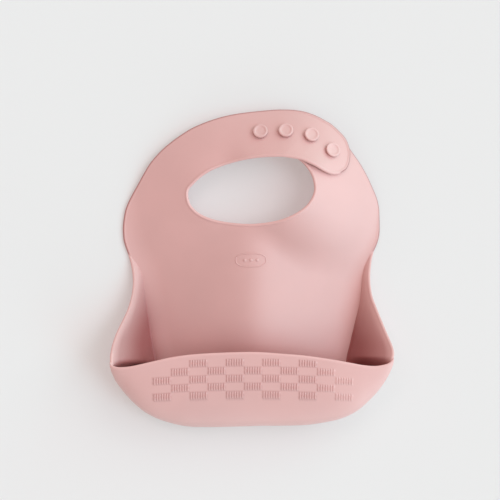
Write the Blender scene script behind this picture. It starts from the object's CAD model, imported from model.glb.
# A silicone bib lying on the floor, seen from above. +Z is up; the neck opening and its two
# straps are towards +Y, the catch pocket towards -Y. Left is -X. The over strap starts on the
# left and buttons over the under strap, which starts on the right and carries the studs.
# Shapes are worked out in millimetres and scaled to metres as meshes are made.
import math

import bmesh
import bpy
import numpy as np
from mathutils import Matrix, Vector
from mathutils.kdtree import KDTree


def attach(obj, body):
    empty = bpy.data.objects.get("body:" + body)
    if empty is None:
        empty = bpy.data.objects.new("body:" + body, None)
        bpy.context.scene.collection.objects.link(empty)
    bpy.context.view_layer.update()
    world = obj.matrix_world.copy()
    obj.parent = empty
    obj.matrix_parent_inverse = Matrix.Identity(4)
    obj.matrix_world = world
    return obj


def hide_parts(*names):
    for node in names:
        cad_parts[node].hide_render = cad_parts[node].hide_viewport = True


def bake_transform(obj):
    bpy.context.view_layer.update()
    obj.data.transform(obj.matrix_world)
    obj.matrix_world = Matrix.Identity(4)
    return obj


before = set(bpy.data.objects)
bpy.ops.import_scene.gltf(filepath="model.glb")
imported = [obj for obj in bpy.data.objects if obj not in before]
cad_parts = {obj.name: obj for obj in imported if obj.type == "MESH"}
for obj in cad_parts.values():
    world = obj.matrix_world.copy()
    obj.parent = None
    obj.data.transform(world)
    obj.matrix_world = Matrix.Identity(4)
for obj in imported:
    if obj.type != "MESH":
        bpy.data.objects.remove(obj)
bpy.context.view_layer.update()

MM = 0.001

# ---------------------------------------------------------------- dimensions (mm)
SHEET = 1.8
HALF = SHEET / 2
LIP_TOP, LIP_OUTER = 0.42, 0.14         # extra height of the lip at the neck and on the outline
LIP_FLAT, LIP_FADE = 1.7, 2.9           # where the lip starts and stops fading into the sheet
EDGE_ROUND = 1.8                        # radius of the rounded free edge
FULL_WIDTH = 14                         # on narrower ribbons the lip rows are squeezed
NECK = np.array([-0.9, 69.1])
NECK_SPINE, NECK_RADIUS = 26.4, 29.5
COLLAR_HEIGHT, COLLAR_TILT, COLLAR_SLOPE, SLOPE_TILT = 23.5, 7.5, 0.38, 0.10
RIDGE_X, RIDGE_HEIGHT, RIDGE_TOP_Y, RIDGE_LENGTH, RIDGE_SOFT = 1.2, 23.0, 20.0, 128.0, 17.0
EAVE_SOFT, COLLAR_SOFT = 2.5, 5         # how softly the roof meets the floor and the collar
OVERLAP_LIFT = 3.5
FLARE = 0.65                            # 0 is a straight side wall, 1 a quarter ellipse
HOLE_D, STEM_D, HEAD_D, HEAD_T, DISH = 9.5, 8.4, 13.0, 2.9, 0.4
STUDS = [(7.7, 120.6), (30.1, 121.2), (52.5, 117.5), (70.9, 104.3)]
OFFSET = np.array([-0.06, -0.54, 0.0])  # from the outline's axes to the frame's


def points(*numbers, columns=2):
    return np.array(numbers, float).reshape(-1, columns)


# Outlines of the middle surface: x, y
neck_front = points(
    -56.4, 69.5, -56.8, 63.3, -54.2, 55.9, -47.9, 49.6, -38.8, 44.9, -27.5, 41.9, -10.5, 39.7,
    6.4, 39.6, 23.3, 42.3, 36.8, 47.5, 46.9, 54.3, 52.6, 61.8, 55.0, 69.2)
over_inner = points(
    -56.4, 69.5, -53.6, 73.2, -45.6, 80.8, -35.4, 87.2, -21.9, 92.3, -4.9, 96.5, 12.1, 98.5,
    29.0, 98.6, 40.3, 96.7)
over_outer = points(
    -105.5, 70.0, -103.1, 74.0, -97.4, 84.3, -91.4, 94.0, -82.5, 104.2, -73.5, 112.1,
    -62.0, 120.3, -50.6, 126.8, -33.5, 133.3, -16.3, 137.5, 6.5, 140.4, 27.1, 141.7,
    44.3, 140.3, 58.0, 135.7, 70.0, 129.2)
under_inner = points(
    55.0, 69.2, 54.6, 75.5, 52.6, 82.4, 48.7, 88.8, 43.4, 94.6, 36.0, 99.0, 26.0, 100.9,
    14.0, 101.0, 4.4, 100.4)
under_outer = points(
    109.0, 69.9, 106.9, 74.4, 103.1, 82.5, 96.8, 93.4, 90.0, 103.1, 81.8, 113.8, 70.3, 123.7,
    56.4, 131.9, 43.0, 136.4, 26.9, 138.1, 10.7, 138.0)
side_left = points(
    -105.5, 70.0, -109.3, 63.0, -111.9, 57.6, -113.9, 52.2, -115.0, 46.8, -115.8, 41.4,
    -116.2, 36.0, -116.0, 30.6, -115.5, 25.2, -114.1, 19.8, -111.5, 12.6)
crease_left = points(
    -111.5, 12.6, -106.6, 7.2, -102.1, 0.9, -98.9, -6.3, -97.1, -17.1, -95.7, -27.9,
    -94.2, -37.8, -92.5, -48.6, -90.6, -60.2, -88.8, -70.2, -87.2, -77.3, -85.5, -84.5)
crease_front = points(
    -84.9, -86.9, -83.2, -90.8, -81.0, -96.1, -77.8, -101.6, -73.3, -107.0, -66.6, -112.0,
    -56.7, -116.1, -43.2, -119.0, -26.1, -120.2, -5.4, -120.6, 7.2, -120.6, 29.7, -120.0,
    45.9, -118.4, 58.5, -115.7, 67.5, -112.3, 73.8, -108.0, 78.3, -102.5, 81.2, -96.7,
    82.9, -91.3, 83.9, -86.8)
crease_right = points(
    84.9, -81.4, 85.8, -76.3, 87.4, -70.2, 89.8, -60.2, 92.6, -48.6, 95.3, -37.8, 97.4, -27.9,
    98.6, -17.1, 99.5, -6.3, 101.5, 1.8, 105.0, 9.0, 109.6, 15.3)
side_right = points(
    109.6, 15.3, 112.1, 20.7, 114.0, 27.0, 114.8, 34.2, 114.6, 43.2, 114.2, 52.2, 113.2, 58.5,
    111.4, 64.3, 109.0, 69.9)

# Rounded ends of the straps: inner x, y and outer x, y of matched points
over_tip = points(
    40.3, 96.7, 70.0, 129.2, 44.9, 95.3, 76.0, 124.0, 55.0, 90.8, 83.6, 115.5,
    62.9, 86.2, 87.3, 104.7, 68.5, 83.7, 86.7, 94.9, 72.1, 83.1, 84.1, 88.6,
    75.3, 83.3, 80.4, 85.6, 77.1, 83.7, 78.6, 84.4).reshape(-1, 2, 2)
under_tip = points(
    6, 100.5, 19, 138.2, 3, 101.2, 8, 137.2, 0.6, 103.4, 2.5, 134.5,
    -0.6, 107, 0, 129, -1, 111.5, -0.9, 122).reshape(-1, 2, 2)

# The pocket's rim and the outermost fold of its front: x, y, z
rim_left = points(
    -111.5, 12.6, 0.9, -109.7, 6.7, 2.2, -108.1, 0.0, 4.2, -107.0, -7.1, 6.6,
    -106.7, -15.1, 9.6, -107.7, -24.8, 13.8, -110.6, -36.2, 19.6, -115.1, -46.7, 25.5,
    -120.0, -57.5, 31.7, -123.2, -67.7, 37.2, -124.4, -75.5, 41.0, -124.4, -81.0, 43.0,
    columns=3)
rim_front = points(
    -123.3, -84.1, 43.9, -120.3, -85.8, 44.7, -115.2, -86.4, 45.5, -106.1, -85.5, 46.6,
    -96.1, -83.3, 47.6, -83.8, -80.4, 48.5, -70.4, -77.4, 49.2, -54.3, -75.1, 49.8,
    -34.8, -73.7, 50.2, -8.0, -72.7, 50.4, 8.0, -72.9, 50.4, 28.6, -74.4, 50.2,
    44.6, -75.7, 49.8, 60.7, -77.9, 49.2, 73.3, -79.9, 48.6, 85.8, -82.3, 47.6,
    97.8, -84.5, 46.6, 108.4, -85.2, 45.5, 117.6, -83.6, 44.6, 121.6, -81.3, 43.8,
    columns=3)
rim_right = points(
    124.0, -77.9, 43.0, 124.7, -73.7, 41.0, 123.3, -67.3, 37.3, 119.7, -58.3, 31.9,
    115.6, -47.6, 25.7, 111.5, -36.7, 19.8, 107.7, -25.7, 14.0, 106.2, -16.0, 9.8,
    106.0, -7.1, 6.6, 106.7, 0.9, 4.2, 107.9, 8.5, 2.3, 109.6, 15.3, 0.9,
    columns=3)
fold_front = points(
    -123.7, -85.4, 43.2, -122.7, -91.3, 36.0, -119.8, -98.9, 30.0, -113.3, -108.6, 25.5,
    -104.2, -118.8, 23.2, -92.7, -128.1, 22.0, -78.6, -134.5, 21.4, -58.7, -139.4, 21.0,
    -37.3, -140.2, 20.8, -8.0, -139.6, 20.6, 8.2, -139.1, 20.6, 31.1, -138.9, 20.8,
    48.8, -138.2, 21.0, 66.6, -135.5, 21.4, 79.9, -132.2, 22.0, 92.4, -126.0, 23.2,
    102.2, -117.4, 25.5, 110.6, -107.9, 30.0, 117.6, -96.8, 36.0, 122.2, -86.0, 41.5,
    columns=3)


# ---------------------------------------------------------------- surface functions
def smooth(t):
    t = np.clip(t, 0.0, 1.0)
    return t * t * (3 - 2 * t)


def rise(value, start, run):
    """0 up to start, 1 from start + run on."""
    return smooth((value - start) / run)


def soft_floor(value, reach):
    """max(0, value) with a rounded corner."""
    return np.where(value <= -reach, 0.0,
                    np.where(value >= reach, value, (value + reach) ** 2 / (4 * reach)))


def collar(x, y):
    """Cone that falls away from the neck opening."""
    beyond = np.maximum(0, np.abs(x - NECK[0]) - NECK_SPINE)
    out = np.hypot(beyond, y - NECK[1]) - NECK_RADIUS
    a = np.arctan2(y - NECK[1], x - NECK[0])
    slope = COLLAR_SLOPE + SLOPE_TILT * np.cos(a)
    return COLLAR_HEIGHT + COLLAR_TILT * np.cos(a) - np.sin(a) - HALF - slope * out


def roof(x, y):
    """Rounded ridge down the middle of the chest, falling to eaves on both sides."""
    run = np.clip((RIDGE_TOP_Y - y) / RIDGE_LENGTH, 0, 1.2)
    ridge = ((RIDGE_HEIGHT - HALF + EAVE_SOFT) * (1 - run ** 4.5) - EAVE_SOFT
             - 0.8 * soft_floor(y - 38, 6))
    eave = np.clip(88 + 0.17 * y, 68, 96)
    side = (np.sqrt((x - RIDGE_X) ** 2 + RIDGE_SOFT ** 2) - RIDGE_SOFT
            + 3.0 * (1 - np.exp(-((x - RIDGE_X) / 30) ** 2)))
    return (ridge + EAVE_SOFT) * (1 - side / eave) - EAVE_SOFT


def height(x, y):
    """Height of the sheet's middle surface."""
    top = roof(x, y)
    return HALF + soft_floor(top + soft_floor(collar(x, y) - top, COLLAR_SOFT), EAVE_SOFT)


def over_height(x, y):
    """The same for the over strap, which lifts to pass over the under strap."""
    a = np.degrees(np.arctan2(y - NECK[1], x - NECK[0]))
    lift = OVERLAP_LIFT * smooth((150 - np.where(a < -90, a + 360, a)) / 58)
    # the buttoned strap gapes a little beside the neck
    gape = 2.0 * np.exp(-(((x - 55) / 15) ** 2 + ((y - 90) / 8) ** 2))
    return height(x, y) + lift + gape


# ---------------------------------------------------------------- curves
TRACE = 80                              # steps between two knots of a traced curve


def spline(knots, t):
    """Catmull-Rom through the knots; t counts knots."""
    padded = np.vstack([2 * knots[0] - knots[1], knots, 2 * knots[-1] - knots[-2]])
    t = np.asarray(t, float)
    i = np.clip(np.floor(t).astype(int), 0, len(knots) - 2)
    w = (t - i)[..., None]
    p0, p1, p2, p3 = padded[i], padded[i + 1], padded[i + 2], padded[i + 3]
    m1, m2 = (p2 - p0) / 2, (p3 - p1) / 2
    return ((2 * p1 - 2 * p2 + m1 + m2) * w ** 3
            + (-3 * p1 + 3 * p2 - 2 * m1 - m2) * w ** 2 + m1 * w + p1)


def trace(knots):
    return spline(knots, np.linspace(0, len(knots) - 1, (len(knots) - 1) * TRACE + 1))


def even(line, step=0.25):
    """A polyline resampled to even steps."""
    s = np.r_[0, np.cumsum(np.linalg.norm(np.diff(line, axis=0), axis=1))]
    q = np.linspace(0.0, s[-1], int(s[-1] / step) + 2)
    return np.stack([np.interp(q, s, line[:, k]) for k in range(line.shape[1])], 1)


def raised(line, z):
    return even(np.c_[line[:, :2], z(line[:, 0], line[:, 1])])


class Rays:
    """Where the ray at a given angle from the middle of the neck opening meets a curve."""

    def __init__(self, knots):
        p = trace(knots) - NECK
        angle = np.unwrap(np.arctan2(p[:, 1], p[:, 0]))
        radius = np.hypot(p[:, 0], p[:, 1])
        if angle[-1] < angle[0]:
            angle, radius = angle[::-1], radius[::-1]
        self.angle, self.radius = angle, radius

    def __call__(self, a):
        middle = (self.angle[0] + self.angle[-1]) / 2
        a = a + 2 * math.pi * np.round((middle - a) / (2 * math.pi))
        r = np.interp(a, self.angle, self.radius)
        return NECK + np.stack([r * np.cos(a), r * np.sin(a)], -1)


over_inner_at = Rays(np.vstack([neck_front[4:0:-1], over_inner]))
over_outer_at = Rays(np.vstack([side_left[6:0:-1], over_outer]))
under_inner_at = Rays(np.vstack([neck_front[-5:-1], under_inner]))
under_outer_at = Rays(np.vstack([side_right[-7:-1], under_outer]))
neck_at, side_left_at, side_right_at = Rays(neck_front), Rays(side_left), Rays(side_right)


# ---------------------------------------------------------------- grids [column, row]
# Rows across a ribbon: distances from a free edge, then an even run
LIP_ROWS = np.array([0, 0.03, 0.12, 0.28, 0.5, 0.8, 1.15, 1.5, 1.9, 2.2, 2.5, 2.8, 3.1, 3.5,
 4.1, 4.9])
ACROSS = 54


def row_fractions(width):
    lip = LIP_ROWS * min(1.0, width / FULL_WIDTH) / width
    inner = np.linspace(lip[-1], 1 - lip[-1], ACROSS + 2)[1:-1]
    return np.concatenate([lip, inner, 1 - lip[::-1]])


def ribbon(inner, outer, z):
    """Middle surface between matched points on two edges."""
    grid = np.empty((len(inner), 2 * len(LIP_ROWS) + ACROSS, 3))
    for i, (a, b) in enumerate(zip(inner, outer)):
        t = row_fractions(max(0.5, float(np.linalg.norm(b - a))))
        xy = a + (b - a) * t[:, None]
        grid[i, :, :2] = xy
        grid[i, :, 2] = z(xy[:, 0], xy[:, 1])
    return grid


def grid_normals(grid):
    """Unit normals of a grid; points in the same place share one."""
    face = np.cross(grid[:-1, 1:] - grid[1:, :-1], grid[1:, 1:] - grid[:-1, :-1])
    normals = np.zeros_like(grid)
    normals[:-1, :-1] += face
    normals[1:, :-1] += face
    normals[:-1, 1:] += face
    normals[1:, 1:] += face
    places = np.round(grid.reshape(-1, 3) / 1e-4).astype(np.int64)
    _, shared = np.unique(places, axis=0, return_inverse=True)
    shared = shared.ravel()
    total = np.zeros((shared.max() + 1, 3))
    np.add.at(total, shared, normals.reshape(-1, 3))
    normals = total[shared].reshape(grid.shape)
    return normals / np.maximum(np.linalg.norm(normals, axis=-1, keepdims=True), 1e-12)


def edge_tree(*lines):
    """Polylines ready for edge_distance: search tree, points, and each point's neighbours."""
    at = np.vstack(lines)
    tree = KDTree(len(at))
    for i, p in enumerate(at):
        tree.insert(p, i)
    tree.balance()
    before = np.vstack([part for line in lines for part in (line[:1], line[:-1])])
    after = np.vstack([part for line in lines for part in (line[1:], line[-1:])])
    return tree, at, before, after


def edge_distance(grid, edges):
    """Distance from each grid point to the nearest stretch of the polylines."""
    tree, at, before, after = edges
    p = grid.reshape(-1, 3)
    k = np.array([tree.find(q)[1] for q in p])
    best = np.full(len(p), 1e9)
    for other in (before, after):
        v = other[k] - at[k]
        t = np.clip(((p - at[k]) * v).sum(1) / np.maximum((v * v).sum(1), 1e-12), 0, 1)
        best = np.minimum(best, np.linalg.norm(p - at[k] - v * t[:, None], axis=1))
    return best.reshape(grid.shape[:2])


def thickness(distance, top, bottom):
    """Offsets of the upper and lower skins at a distance from a free edge.

    top and bottom are how far the lips stand above and below the sheet."""
    lip = 1 - rise(distance, LIP_FLAT, LIP_FADE - LIP_FLAT)
    up, down = HALF + top * lip, HALF + bottom * lip
    mid = (top - bottom) / 2
    r = np.sqrt(np.clip(1 - (1 - np.minimum(distance / EDGE_ROUND, 1)) ** 2, 0, 1))
    return mid + (up - mid) * r, mid - (mid + down) * r


# ---------------------------------------------------------------- meshes
def shade_smooth(mesh):
    for face in mesh.polygons:
        face.use_smooth = True


def mesh_from(bm, name):
    mesh = bpy.data.meshes.new(name)
    bm.to_mesh(mesh)
    bm.free()
    shade_smooth(mesh)
    return mesh


def add_object(name, data):
    obj = bpy.data.objects.new(name, data)
    bpy.context.scene.collection.objects.link(obj)
    return obj


def solid(name, upper, lower, upper_tone, lower_tone):
    """A mesh from upper and lower grids of points, closed on all four sides.

    Its tone is above 0 where the colour deepens and below 0 where it pales."""
    n, m, _ = upper.shape
    top = np.arange(n * m).reshape(n, m)
    low = top + n * m

    def quads(i):
        return np.stack([i[:-1, :-1], i[1:, :-1], i[1:, 1:], i[:-1, 1:]], -1).reshape(-1, 4)

    def side(a, b):
        return np.stack([a[:-1], b[:-1], b[1:], a[1:]], -1)

    verts = np.vstack([upper.reshape(-1, 3), lower.reshape(-1, 3)]) + OFFSET
    faces = np.vstack([quads(top), quads(low)[:, ::-1],
                       side(top[:, 0], low[:, 0]), side(low[:, -1], top[:, -1]),
                       side(low[0], top[0]), side(top[-1], low[-1])])
    mesh = bpy.data.meshes.new(name)
    mesh.from_pydata((verts * MM).tolist(), [], faces.tolist())
    bm = bmesh.new()
    bm.from_mesh(mesh)
    layer = bm.verts.layers.float.new("tone")
    for v, tone in zip(bm.verts, np.r_[upper_tone.ravel(), lower_tone.ravel()]):
        v[layer] = float(tone)
    bmesh.ops.remove_doubles(bm, verts=bm.verts, dist=2e-6)
    bmesh.ops.dissolve_degenerate(bm, edges=bm.edges, dist=1e-7)
    loose = [v for v in bm.verts if not v.link_faces]
    if loose:
        bmesh.ops.delete(bm, geom=loose, context="VERTS")
    bmesh.ops.recalc_face_normals(bm, faces=bm.faces)
    bm.to_mesh(mesh)
    bm.free()
    shade_smooth(mesh)
    mesh.set_sharp_from_angle(angle=math.radians(60))
    return add_object(name, mesh)


# ---------------------------------------------------------------- the pocket wall's curves
# The wall runs from the crease with the chest out to the fold, then over and up to the rim.
# A station counts knots along it, from the left end round the front to the right end.
wall_base = np.vstack([crease_left, crease_front, crease_right])
wall_rim = np.vstack([rim_left, rim_front, rim_right])
wall_fold = np.vstack([rim_left, fold_front, rim_right])
LAST = len(wall_base) - 1
SIDE = len(rim_left) - 1                # last station of the left side wall

fold_stations = np.linspace(SIDE, LAST - SIDE, 4001)
fold_x = spline(wall_fold, fold_stations)[:, 0]
rim_stations = np.linspace(14, 30, 8001)
rim_x = spline(wall_rim, rim_stations)[:, 0]


def station_at(x):
    """Station where the front of the rim passes x."""
    return np.interp(x, rim_x, rim_stations)


def inside_ends(u, start, run):
    """1 along the front, fading to 0 towards both side walls."""
    return smooth((u - start) / run) * smooth((LAST - start - u) / run)


def wall_edges(u):
    """Base, fold and rim points at the stations."""
    base, rim = spline(wall_base, u), spline(wall_rim, u)
    # over the flat middle the fold is paired with the rim by x
    paired = np.interp(rim[:, 0], fold_x, fold_stations)
    fold = spline(wall_fold, u + (paired - u) * inside_ends(u, start=13.4, run=2.2))
    sides = (u <= SIDE) | (u >= LAST - SIDE)
    fold[sides] = rim[sides]            # a side wall has no fold
    return np.c_[base, np.full(len(base), HALF)], fold, rim


def flare(t):
    """How the side walls go out and up: a tight root, steep at first, then leaning out."""
    a = t * math.pi / 2
    out = (1 - FLARE) * t + FLARE * (1 - np.cos(a))
    up = (1 - FLARE) * t + FLARE * np.sin(a)
    root = 0.07 * (1 - np.exp(-t / 0.06)) * (1 - t)       # rounds the corner with the chest
    return out + root, up - 0.95 * root


def low_wall(base, fold, u, v):
    """Part of the wall between its base and the outermost fold, v from 0 to 1."""
    roundness = inside_ends(u, start=10.5, run=3)
    a = v * math.pi / 2
    side_out, side_up = flare(v)
    out = side_out + (np.sin(a) - side_out) * roundness
    up = side_up + (1 - np.cos(a) - side_up) * roundness
    p = base + (fold - base) * out[:, None]
    p[:, 2] = base[2] + (fold[2] - base[2]) * up
    return p


def high_wall(fold, rim, out):
    """Part of the wall between the fold and the rim, at these fractions in plan."""
    up = 0.65 * np.sin(np.arccos(np.clip(1 - out, -1, 1))) + 0.35 * out
    p = fold + (rim - fold) * out[:, None]
    p[:, 2] = fold[2] + (rim[2] - fold[2]) * up
    return p


# ---------------------------------------------------------------- relief on the pocket's front
# A checkerboard of tiles, each filled with plain upright ribs
TILE_COLS, TILE_PITCH, TILE_X0 = 11, 15.93, -78.66
ROW_Y = [-111.3, -103.9, -96.8, -89.7, -82.5]
RIB_N, RIB_PITCH, RIB_W, RIB_H = 7, 2.2, 1.15, 5.7
RIB_UP, RIB_SIDE = 0.5, 0.24            # height of a rib, width of its sloping side
TOP_GAP = 3.6                           # from the top row to the rim
ROW_LINES, RIB_COLS = 5, 4              # grid lines across a tile row and across a rib

rib_lines = []
for k in range(TILE_COLS):
    for j in range(RIB_N):
        centre = TILE_X0 + TILE_PITCH * k + RIB_PITCH * (j - (RIB_N - 1) / 2)
        left, right = centre - RIB_W / 2, centre + RIB_W / 2
        rib_lines += [left, left + RIB_SIDE, right - RIB_SIDE, right]
rib_lines = np.array(rib_lines)


def has_tile(row, col):
    at_end = col in (0, TILE_COLS - 1)
    return (row + col) % 2 == 0 and not (row == len(ROW_Y) - 1 and at_end)


def tile_lines(x, rim_y):
    """y of the relief's grid lines at x, from low to high."""
    lines = []
    for row_y in ROW_Y:
        c, h = row_y + 0.9 - 2.4 * (x / 80) ** 2, RIB_H / 2
        lines += [c - h, c - h + RIB_SIDE, c, c + h - RIB_SIDE, c + h]
    lines = np.array(lines)
    top, below = rim_y - TOP_GAP, lines[-ROW_LINES - 1]
    if lines[-1] > top:                 # the top row closes up where the rim comes near
        squeeze = (lines[-ROW_LINES:] - below) * (top - below)
        lines[-ROW_LINES:] = below + squeeze / (lines[-1] - below)
    return lines


# ---------------------------------------------------------------- the wall's grid
WALL_LIP = np.array([0, 0.03, 0.12, 0.28, 0.5, 0.8, 1.15, 1.55, 2.0, 2.5, 3.0])
WALL_ROWS = np.array([0, 0.02, 0.045, 0.075, 0.11, 0.16, 0.22, 0.29, 0.37, 0.46, 0.55, 0.65,
                      0.75, 0.85, 0.94])
LOW = len(WALL_ROWS) + len(WALL_LIP)    # rows between the base and the fold
BELOW_TILES, ABOVE_TILES = 8, 3         # plain rows on either side of the relief
HIGH = BELOW_TILES + ROW_LINES * len(ROW_Y) + ABOVE_TILES + len(WALL_LIP)


def wall_column(u, base, fold, rim):
    low_span = max(1e-6, float(np.linalg.norm(fold - base)))
    if low_span > 0.02:
        lip = WALL_LIP[::-1] * min(1.0, low_span / FULL_WIDTH) / low_span
    else:
        lip = np.linspace(0.3, 0, len(WALL_LIP))
    plain = WALL_ROWS * (1 - lip[0]) / WALL_ROWS[-1] * 0.985
    lower = low_wall(base, fold, u, np.concatenate([plain, 1 - lip]))
    high_span = float(np.linalg.norm(rim - fold))
    if high_span < 1e-4:
        return np.vstack([lower, np.repeat(rim[None], HIGH, 0)])
    # fractions of the tile lines, found where the relief is and held beyond it
    x = float(np.clip(rim[0], rib_lines[0], rib_lines[-1]))
    near_fold, near_rim = fold, rim
    if abs(rim[0] - x) >= 1e-9:
        _, folds, rims = wall_edges(np.array([station_at(x)]))
        near_fold, near_rim = folds[0], rims[0]
    lip_share = WALL_LIP[-1] / float(np.linalg.norm(near_rim - near_fold))
    y = tile_lines(x, near_rim[1])
    q = (y - near_fold[1]) / (near_rim[1] - near_fold[1]) / (1 - lip_share)
    q = np.concatenate([np.linspace(0, q[0], BELOW_TILES + 2)[1:-1], q,
                        np.linspace(q[-1], 1, ABOVE_TILES + 2)[1:-1]])
    lip = WALL_LIP * min(1.0, high_span / FULL_WIDTH) / high_span
    out = np.concatenate([q * (1 - lip[-1]), 1 - lip[::-1]])
    return np.vstack([lower, high_wall(fold, rim, out)])


side_cols = 54
relief_start, relief_end = station_at(rib_lines[0]), station_at(rib_lines[-1])
stations = np.concatenate([
    np.linspace(0, 10.6, side_cols), np.linspace(10.6, 14.0, 44)[1:],
    np.linspace(14.0, relief_start, 16)[1:-1], station_at(rib_lines),
    np.linspace(relief_end, LAST - 14.0, 16)[1:-1],
    np.linspace(LAST - 14.0, LAST - 10.6, 44), np.linspace(LAST - 10.6, LAST, side_cols)[1:]])
bases, folds, rims = wall_edges(stations)
wall = np.stack([wall_column(*column) for column in zip(stations, bases, folds, rims)])

# ---------------------------------------------------------------- free edges
neck_edge, left_edge = raised(trace(neck_front), height), raised(trace(side_left), height)
rim_edge, right_edge = even(trace(wall_rim)), raised(trace(side_right), height)
main_edges = [neck_edge, left_edge, rim_edge, right_edge]


def strap_edges(inner_at, outer_at, start, end, count, tip, z):
    """Inner edge, outer edge and the short end of a strap; angles in degrees."""
    rays = np.linspace(math.radians(start), math.radians(end), count)
    return [raised(line, z) for line in (np.vstack([inner_at(rays), trace(tip[:, 0])]),
                                         np.vstack([outer_at(rays), trace(tip[:, 1])]),
                                         tip[-1])]


over_edges = strap_edges(over_inner_at, over_outer_at, 193, 46, 900, over_tip, over_height)
under_edges = strap_edges(under_inner_at, under_outer_at, -20, 62, 500, under_tip, height)
near_neck = edge_tree(neck_edge, over_edges[0], under_edges[0])
near_outline = edge_tree(left_edge, right_edge, *over_edges[1:], *under_edges[1:])
near_main = edge_tree(*main_edges,
                      *[e[e[:, 1] < 90] for e in over_edges[:2] + under_edges[:2]])
near_over = edge_tree(*main_edges, *over_edges)
near_under = edge_tree(*main_edges, *under_edges)


# ---------------------------------------------------------------- skins
def edge_tone(neck, outer):
    """Paler near the neck edge or the rim, deeper in a fine line along the outline."""
    return 0.65 * (1 - rise(outer, 0.6, 1.4)) - (1 - rise(neck, 0.6, 2.2))


def flat_skin(name, grid, normals, edges, outer_lip=LIP_OUTER, shade=0.0):
    """Skin of the chest or a strap; shade deepens its upper side."""
    neck, outer = edge_distance(grid, near_neck), edge_distance(grid, near_outline)
    bead = 1.0 * (1 - rise(neck, 3.5, 2.5))     # stands under the edge of the neck opening
    up, low = thickness(edge_distance(grid, edges), np.where(neck < 12, LIP_TOP, outer_lip),
                        bead)
    edge = edge_tone(neck, outer)
    # a highlight over the right shoulder, up to the fine line along the outline
    pale = 0.6 * rise(grid[..., 0], 35, 45) * rise(grid[..., 1], 10, 45) * rise(outer, 0.6, 1.4)
    return solid(name, grid + normals * up[..., None], grid + normals * low[..., None],
                 shade + edge - pale, edge)


def chest_skin():
    side_count = 30
    seam = math.radians(10)             # the strap skins reach this far into the chest
    waist_left, waist_right = [math.atan2(p[1] - NECK[1], p[0] - NECK[0])
                               for p in (side_left[-1], side_right[0])]
    left = np.linspace(-math.pi + seam, waist_left, side_count + 1)[:-1]
    right = np.linspace(waist_right, -seam, side_count + 1)[1:]
    middle = np.arctan2(bases[:, 1] - NECK[1], bases[:, 0] - NECK[0])
    outer = np.vstack([side_left_at(left), bases[:, :2], side_right_at(right)])
    grid = ribbon(neck_at(np.r_[left, middle, right]), outer, height)
    creases = []
    for knots in (crease_left, crease_front, crease_right):
        line = trace(knots)
        creases.append(even(np.c_[line, np.full(len(line), HALF)]))
    crease = edge_distance(grid, edge_tree(*creases))
    shade = np.where(grid[..., 0] < 0, 0.8 * np.exp(-crease / 8.0),
                     0.22 * np.exp(-crease / 4.5)) * smooth((5 - grid[..., 1]) / 60)
    return flat_skin("chest_skin", grid, grid_normals(grid), near_main, shade=shade)


def pocket_skin():
    """The wall; its upper skin is the inside of the pocket, its lower one the outside."""
    normals, distance = grid_normals(wall), edge_distance(wall, near_main)
    inner_lip = np.interp(stations, [0, 4, LAST - 4, LAST], [LIP_OUTER, 0.3, 0.3, LIP_OUTER])
    up, low = thickness(distance, inner_lip[:, None], 0.0)

    relief, rib_tone = np.zeros_like(low), np.zeros_like(low)
    first_col = int(np.argmin(np.abs(stations - relief_start)))
    first_row = LOW + BELOW_TILES
    for k in range(TILE_COLS):
        for r in range(len(ROW_Y)):
            if not has_tile(r, k):
                continue
            row = first_row + ROW_LINES * r
            for j in range(RIB_N):
                col = first_col + RIB_COLS * (RIB_N * k + j)
                foot = (slice(col, col + RIB_COLS), slice(row, row + ROW_LINES))
                crest = (slice(col + 1, col + 3), slice(row + 1, row + 4))
                relief[crest] = RIB_UP
                rib_tone[foot] = 0.3
                rib_tone[crest] = -0.15

    # deepest at the root of the wall, gone at its ends, its rim and its free edges
    reach = np.linalg.norm(wall - wall[:, :1], axis=-1)
    reach = reach / np.maximum(reach[:, LOW - 1:LOW], 1e-6)
    ends = smooth(np.where(stations < LAST / 2, (stations - 0.5) / 8.5,
                           (LAST - stations - 3.0) / 6.5))
    deep = (np.clip(1 - reach, 0, 1) ** 0.7 * 0.7 + 0.5) * ends[:, None]
    deep[:, LOW:] *= np.linspace(1, 0, HIGH)[None]
    deep[:, -6:] = 0
    deep = np.clip(deep, 0, 1) * np.clip((distance - 1.0) / 6.0, 0, 1)
    # the rim is pale except over its first and last ten stations
    rim = edge_tree(even(trace(wall_rim)[10 * TRACE:-10 * TRACE]))
    edge = edge_tone(edge_distance(wall, rim), distance + 9)    # + 9: no line on the outline
    return solid("pocket_skin", wall + normals * up[..., None],
                 wall + normals * (low - relief)[..., None],
                 deep + edge, edge + rib_tone - rise(wall[..., 0], 50, 60))


def columns(full):
    return int(full * (1.0))


def ray_grid(inner_at, outer_at, start, end, count, z):
    a = np.linspace(math.radians(start), math.radians(end), count)
    return ribbon(inner_at(a), outer_at(a), z)


def tip_grid(tip, z):
    t = np.linspace(0, len(tip) - 1, (len(tip) - 1) * columns(10) + 1)
    return ribbon(spline(tip[:, 0], t), spline(tip[:, 1], t), z)


def upward_normals(grid):
    normals = grid_normals(grid)
    return -normals if normals[5, 20, 2] < 0 else normals


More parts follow.
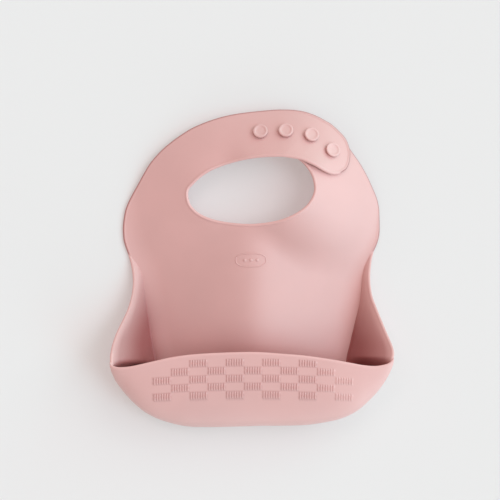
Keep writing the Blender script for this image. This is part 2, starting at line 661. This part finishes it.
def over_strap_skins():
    """Root, middle and tab: one strap cut at two angles."""
    root_end, middle_end = 153.0, 112.5
    root, middle, tab = [
        ray_grid(over_inner_at, over_outer_at, start, end, columns(count), over_height)
        for start, end, count in ((190, root_end, 46), (root_end, middle_end, 50),
                                  (middle_end, 46, 74))]
    grid = np.vstack([root, middle[1:], tab[1:], tip_grid(over_tip, over_height)])
    normals = upward_normals(grid)
    # the lip of the outline grows to its full height on the tab
    outer_lip = LIP_OUTER + (LIP_TOP - LIP_OUTER) * rise(grid[..., 0], 30, 30)
    cut_1 = len(root)
    cut_2 = cut_1 + len(middle) - 1
    skins = []
    for part, first, end in (("root", 0, cut_1), ("middle", cut_1 - 1, cut_2),
                             ("tab", cut_2 - 1, None)):
        cut = slice(first, end)
        skins.append(flat_skin(f"over_strap_skin_{part}", grid[cut], normals[cut], near_over,
                               outer_lip=outer_lip[cut]))
    return skins


def under_strap_skin():
    grid = np.vstack([ray_grid(under_inner_at, under_outer_at, -10, 62, columns(96), height),
                      tip_grid(under_tip, height)])
    return flat_skin("under_strap_skin", grid, upward_normals(grid), near_under)


chest = chest_skin()
pocket = pocket_skin()
strap_root, strap_middle, strap_tab = over_strap_skins()
under = under_strap_skin()


# ---------------------------------------------------------------- closure studs
def lathe(name, profile, sides=72):
    """Mesh of a profile of (radius, z) turned about z, deeper in tone below its flat top."""
    bm = bmesh.new()
    rings = []
    for r, z in profile:
        if r < 1e-6:
            rings.append([bm.verts.new((0, 0, z))])
        else:
            turns = [2 * math.pi * i / sides for i in range(sides)]
            rings.append([bm.verts.new((r * math.cos(t), r * math.sin(t), z)) for t in turns])
    for a, b in zip(rings, rings[1:]):
        for i in range(sides):
            j = (i + 1) % sides
            if len(a) == 1:
                bm.faces.new((a[0], b[i], b[j]))
            elif len(b) == 1:
                bm.faces.new((a[i], b[0], a[j]))
            else:
                bm.faces.new((a[i], b[i], b[j], a[j]))
    bmesh.ops.recalc_face_normals(bm, faces=bm.faces)
    top = max(z for _, z in profile)
    layer = bm.verts.layers.float.new("tone")
    for v in bm.verts:
        v[layer] = 0.55 * min(1.0, max(0.0, (top - 0.5 - v.co.z) / 1.2))
    return mesh_from(bm, name)


def arc(r, z, radius, start, end, count):
    turns = [math.radians(a) for a in np.linspace(start, end, count)]
    return [(r + radius * math.cos(t), z + radius * math.sin(t)) for t in turns]


def sheet_normal(x, y, e=1.5):
    slope_x = (float(height(x + e, y)) - float(height(x - e, y))) / (2 * e)
    slope_y = (float(height(x, y + e)) - float(height(x, y - e))) / (2 * e)
    return Vector((-slope_x, -slope_y, 1)).normalized()


def stud_profile(foot):
    """Filleted foot, stem, and a round-edged head with a dished top."""
    stem, head, seat = STEM_D / 2, HEAD_D / 2, HALF + 0.45
    top = seat + HEAD_T
    floor_z = top - DISH
    return ([(0, foot), (stem + 0.7, foot)]
            + arc(stem + 0.7, foot + 0.7, 0.7, -90, -180, 5)[1:]
            + [(stem, seat - 0.2), (stem + 0.15, seat), (head - 0.6, seat)]
            + arc(head - 0.75, seat + 0.75, 0.75, -90, 0, 7)[1:]
            + arc(head - 0.8, top - 0.8, 0.8, 0, 90, 8)
            + arc(head - 1.5, top - 0.9, 0.9, 90, 140, 5)[1:]
            + [(head - 2.7, floor_z), (head - 3.6, floor_z - 0.12), (1.6, floor_z - 0.16),
               (0, floor_z - 0.16)])


studs = []
hole_bm = bmesh.new()
for i, (x, y) in enumerate(STUDS):
    normal = sheet_normal(x, y)
    tilt = Vector((0, 0, 1)).rotation_difference(normal).to_matrix().to_4x4()
    place = Vector((x, y, float(over_height(x, y)))) + Vector(OFFSET)
    matrix = Matrix.Translation(place * MM) @ tilt @ Matrix.Scale(MM, 4)
    name = f"closure_stud_skin_{i + 1}"
    stud = lathe(name, stud_profile(foot=-OVERLAP_LIFT * normal.z + HALF - 0.15))
    stud.transform(matrix)
    studs.append(add_object(name, stud))
    hole = lathe(f"cutter_{i}", [(0, -4), (HOLE_D / 2, -4), (HOLE_D / 2, 4), (0, 4)], sides=64)
    hole.transform(matrix)
    hole_bm.from_mesh(hole)


def cut_holes(strap):
    mesh = bpy.data.meshes.new("cutters")
    hole_bm.to_mesh(mesh)
    hole_bm.free()
    cutter = add_object("cutters", mesh)
    mod = strap.modifiers.new("holes", "BOOLEAN")
    mod.operation, mod.solver, mod.object = "DIFFERENCE", "EXACT", cutter
    depsgraph = bpy.context.evaluated_depsgraph_get()
    cut = bpy.data.meshes.new_from_object(strap.evaluated_get(depsgraph))
    strap.modifiers.clear()
    strap.data = cut
    bpy.data.objects.remove(cutter, do_unlink=True)
    shade_smooth(cut)
    cut.set_sharp_from_angle(angle=math.radians(50))


cut_holes(strap_tab)

# ---------------------------------------------------------------- emblem: an oval and three dots
EMBLEM_X, EMBLEM_Y, OVAL_A, OVAL_B, OVAL_POWER = -1.0, 7.2, 13.5, 5.9, 2.6
LINE_HALF, LINE_H = 0.55, 0.55          # half width and height of the oval's line
DOT_R, DOT_H, DOT_STEP = 1.5, 0.6, 5.6


def chest_vert(bm, x, y, dz):
    """A vertex dz above the upper face of the chest."""
    top = Vector((x, y, float(height(x, y)) + HALF))
    return bm.verts.new(top + Vector((0, 0, dz)))


def oval_line(bm, around=160, across=10):
    rings = []
    power = 2 / OVAL_POWER
    for i in range(around):
        t = 2 * math.pi * i / around
        x = EMBLEM_X + OVAL_A * math.copysign(abs(math.cos(t)) ** power, math.cos(t))
        y = EMBLEM_Y + OVAL_B * math.copysign(abs(math.sin(t)) ** power, math.sin(t))
        nx, ny = (x - EMBLEM_X) / OVAL_A ** 2, (y - EMBLEM_Y) / OVAL_B ** 2
        length = math.hypot(nx, ny)
        nx, ny = nx / length, ny / length
        ring = []
        for j in range(across):
            f = math.pi * j / (across - 1)
            out = LINE_HALF * math.cos(f)
            dz = LINE_H * math.sin(f) - 0.12 if 0 < j < across - 1 else -0.4
            ring.append(chest_vert(bm, x + nx * out, y + ny * out, dz))
        rings.append(ring)
    for p, q in zip(rings, rings[1:] + rings[:1]):
        for j in range(across - 1):
            bm.faces.new((p[j], q[j], q[j + 1], p[j + 1]))
        bm.faces.new((p[-1], q[-1], q[0], p[0]))


def dot(bm, x, y, around=40, levels=8):
    layers = []
    for k in range(levels):
        f = math.pi / 2 * k / levels
        r, dz = DOT_R * math.cos(f), DOT_H * math.sin(f) - (0.4 if k == 0 else 0.05)
        turns = [2 * math.pi * s / around for s in range(around)]
        layers.append([chest_vert(bm, x + r * math.cos(t), y + r * math.sin(t), dz)
                       for t in turns])
    top, bottom = chest_vert(bm, x, y, 0.55), chest_vert(bm, x, y, -0.5)
    for a, b in zip(layers, layers[1:]):
        for s in range(around):
            n = (s + 1) % around
            bm.faces.new((a[s], a[n], b[n], b[s]))
    for s in range(around):
        n = (s + 1) % around
        bm.faces.new((layers[-1][s], layers[-1][n], top))
        bm.faces.new((layers[0][n], layers[0][s], bottom))


def emblem():
    bm = bmesh.new()
    oval_line(bm)
    for dx in (-DOT_STEP, 0, DOT_STEP):
        dot(bm, EMBLEM_X + dx, EMBLEM_Y)
    bmesh.ops.recalc_face_normals(bm, faces=bm.faces)
    for v in bm.verts:
        v.co = (v.co + Vector(OFFSET)) * MM
    return add_object("chest_emblem", mesh_from(bm, "chest_emblem"))


mark = emblem()

# ---------------------------------------------------------------- silicone
PINK, STUD_PINK = (0.70, 0.385, 0.37), (0.75, 0.43, 0.415)
DEEP = (0.46, 0.165, 0.165)             # multiplies the colour where the tone is 1


def silicone(name, colour, drift_scale):
    material = bpy.data.materials.new(name)
    material.use_nodes = True
    nodes, links = material.node_tree.nodes, material.node_tree.links
    shader = nodes["Principled BSDF"]
    coords = nodes.new("ShaderNodeTexCoord").outputs["Object"]

    def feed(socket, value):
        if isinstance(value, bpy.types.NodeSocket):
            links.new(value, socket)
        else:
            socket.default_value = value

    def node(kind, result, inputs, **settings):
        made = nodes.new(kind)
        for key, value in settings.items():
            setattr(made, key, value)
        for key, value in inputs.items():
            feed(made.inputs[key], value)
        return made.outputs[result]

    def noise(scale, detail, roughness=0.5):
        return node("ShaderNodeTexNoise", "Fac", {
            "Scale": scale, "Detail": detail, "Roughness": roughness, "Vector": coords})

    def ramp(value, source, target):
        return node("ShaderNodeMapRange", "Result", {
            "From Min": source[0], "From Max": source[1],
            "To Min": target[0], "To Max": target[1], "Value": value})

    def mix(a, b, factor, blend="MIX"):
        return node("ShaderNodeMix", "Result", {"A": a, "B": b, "Factor": factor},
                    data_type="RGBA", blend_type=blend)

    def tint(gain, lift=0.0):
        return (*[min(1, c * gain + lift) for c in colour], 1)

    def bump(height_map, strength, distance):
        return {"Height": height_map, "Strength": strength, "Distance": distance}

    # a slow drift of colour, paler where the tone is below 0 and deeper where it is above
    drift = ramp(noise(scale=drift_scale, detail=3), source=(0.3, 0.7), target=(0, 1))
    tone = node("ShaderNodeAttribute", "Fac", {}, attribute_name="tone")
    plain = mix(tint(gain=0.955), tint(gain=1.045), factor=drift)
    paled = mix(plain, tint(gain=1.1, lift=0.03),
                factor=ramp(tone, source=(0, -1), target=(0, 0.6)))
    shaded = mix(paled, (*DEEP, 1), factor=ramp(tone, source=(0, 1), target=(0, 1)),
                 blend="MULTIPLY")

    # a slightly dusty matt surface with faint handling marks
    dust = ramp(noise(scale=900, detail=4, roughness=0.6), (0.3, 0.7), target=(0.0, 0.08))
    marks = ramp(noise(scale=60, detail=5, roughness=0.65), (0.3, 0.7), target=(0.46, 0.58))
    rough = node("ShaderNodeMath", "Value", {0: dust, 1: marks}, operation="ADD")

    grain = node("ShaderNodeBump", "Normal", bump(
        noise(scale=2600, detail=3, roughness=0.6), strength=0.25, distance=0.00006))
    waves = node("ShaderNodeBump", "Normal", {"Normal": grain, **bump(
        noise(scale=38, detail=2, roughness=0.4), strength=0.3, distance=0.00025)})

    for key, value in {
            "Base Color": shaded, "Roughness": rough, "Normal": waves, "IOR": 1.41,
            "Specular IOR Level": 0.9, "Coat Weight": 0.8, "Coat Roughness": 0.5,
            "Sheen Weight": 0.12, "Sheen Roughness": 0.6}.items():
        feed(shader.inputs[key], value)
    return material


def dress(obj, material):
    obj.data.materials.clear()
    obj.data.materials.append(material)


sheet_mat = silicone("silicone_sheet", PINK, drift_scale=14)
stud_mat = silicone("silicone_stud", STUD_PINK, drift_scale=17)
for obj in (chest, pocket, strap_root, strap_middle, strap_tab, under, mark):
    dress(obj, sheet_mat)
for obj in studs:
    dress(obj, stud_mat)
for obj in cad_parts.values():
    dress(obj, sheet_mat)


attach(chest, "panel")
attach(mark, "panel")
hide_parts("chest_panel")
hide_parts("left_gusset", "right_gusset", "pocket_front")
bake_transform(pocket)
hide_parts("over_strap_root")
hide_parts("over_strap_middle")
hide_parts("over_strap_tab")
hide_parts("under_strap")

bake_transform(strap_root)
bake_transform(strap_middle)
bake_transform(strap_tab)
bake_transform(under)
for i, obj in enumerate(studs):
    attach(obj, "under")
    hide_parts(f"closure_stud_{i + 1}")

# ---------------------------------------------------------------- floor, light, camera (metres)
FLOOR_HALF, FLOOR_Z = 3, -0.0006
CAMERA_X, CAMERA_Y, CAMERA_Z = -1.8, 16.2, 1.6          # x and y in mm, z in metres


def make_floor():
    """A pale floor that glows a little, so shadows stay light."""
    mesh = bpy.data.meshes.new("floor")
    corners = [(-1, -1), (1, -1), (1, 1), (-1, 1)]
    mesh.from_pydata([(x * FLOOR_HALF, y * FLOOR_HALF, FLOOR_Z) for x, y in corners], [],
                     [(0, 1, 2, 3)])
    floor = add_object("floor", mesh)
    material = bpy.data.materials.new("floor")
    material.use_nodes = True
    inputs = material.node_tree.nodes["Principled BSDF"].inputs
    for key, value in {
            "Base Color": (0.543, 0.543, 0.543, 1), "Emission Color": (1, 0.932, 0.939, 1),
            "Emission Strength": 0.263, "Roughness": 0.9, "Specular IOR Level": 0.1}.items():
        inputs[key].default_value = value
    mesh.materials.append(material)
    return floor


def softbox(name, azimuth, elevation, colour):
    """A wide, even light; azimuth is from +X towards +Y, colour carries the strength."""
    light = bpy.data.lights.new(name, "SUN")
    light.energy, light.angle = max(colour), math.radians(30)
    light.color = [c / max(colour) for c in colour]
    obj = bpy.data.objects.new(name, light)
    a, e = math.radians(azimuth), math.radians(elevation)
    source = Vector((math.cos(e) * math.cos(a), math.cos(e) * math.sin(a), math.sin(e)))
    obj.rotation_euler = source.to_track_quat("Z", "Y").to_euler()
    bpy.context.scene.collection.objects.link(obj)


make_floor()

scene = bpy.context.scene
world = bpy.data.worlds.new("world")
scene.world = world
world.use_nodes = True
background = world.node_tree.nodes["Background"].inputs
background["Color"].default_value = (1.0, 0.879, 0.790, 1)
background["Strength"].default_value = 0.553

for light in (  # name, azimuth and elevation in degrees, colour
        ("key_high", 0, 58, (0.644, 0.653, 0.728)),
        ("key_back_right", 22, 34, (0.542, 0.596, 0.646)),
        ("key_right", 338, 34, (0.160, 0.552, 0.624)),
        ("low_back_right", 45, 12, (0.177, 0.618, 0.574)),
        ("low_front_right", 315, 12, (0.441, 0.582, 0.611)),
        ("low_front", 270, 12, (0.290, 0.402, 0.410)),
        ("fill_back", 68, 34, (0.295, 0.379, 0.363)),
        ("fill_high", 120, 58, (0.306, 0.174, 0.193))):
    softbox(*light)

# the camera looks straight down
lens = bpy.data.cameras.new("camera")
lens.lens, lens.sensor_width = 128.0, 36.0
camera = add_object("camera", lens)
camera.location = ((CAMERA_X + OFFSET[0]) * MM, (CAMERA_Y + OFFSET[1]) * MM, CAMERA_Z)
scene.camera = camera
scene.view_settings.view_transform = "Standard"
scene.view_settings.look = "None"
